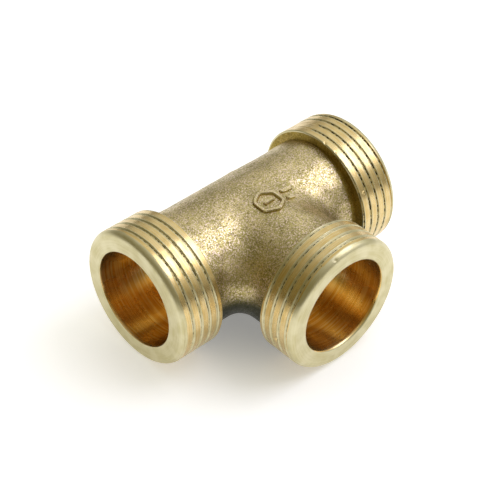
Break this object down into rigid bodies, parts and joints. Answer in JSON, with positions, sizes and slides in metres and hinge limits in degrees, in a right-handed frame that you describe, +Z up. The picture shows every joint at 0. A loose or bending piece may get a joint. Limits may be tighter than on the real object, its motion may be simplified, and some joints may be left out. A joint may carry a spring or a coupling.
{
  "type": "tee fitting",
  "caption": "Equal pipe tee in cast brass with male parallel-threaded ends, flat sealing faces and plain bored waterways.",
  "frame": {"origin": "bottom centre of the bounding box, on the surface the tee lies on; the waterways cross at x 0, y 0.007875, z 0.01645", "axes": "+Z up, with the tee lying flat on its threaded ends; +X along the run, from its left end to its right end; the branch points along -Y"},
  "size_m": [0.0666, 0.0486, 0.0329],
  "materials": {
    "cast_brass": "sand-cast and shot-blasted, dull and grainy",
    "turned_brass": "turned and threaded on a lathe, bright"
  },
  "bodies": {
    "root": {"cast_body": "cast_brass", "run_end_left": "turned_brass", "run_end_right": "turned_brass", "branch_end": "turned_brass"}
  },
  "joints": []
}
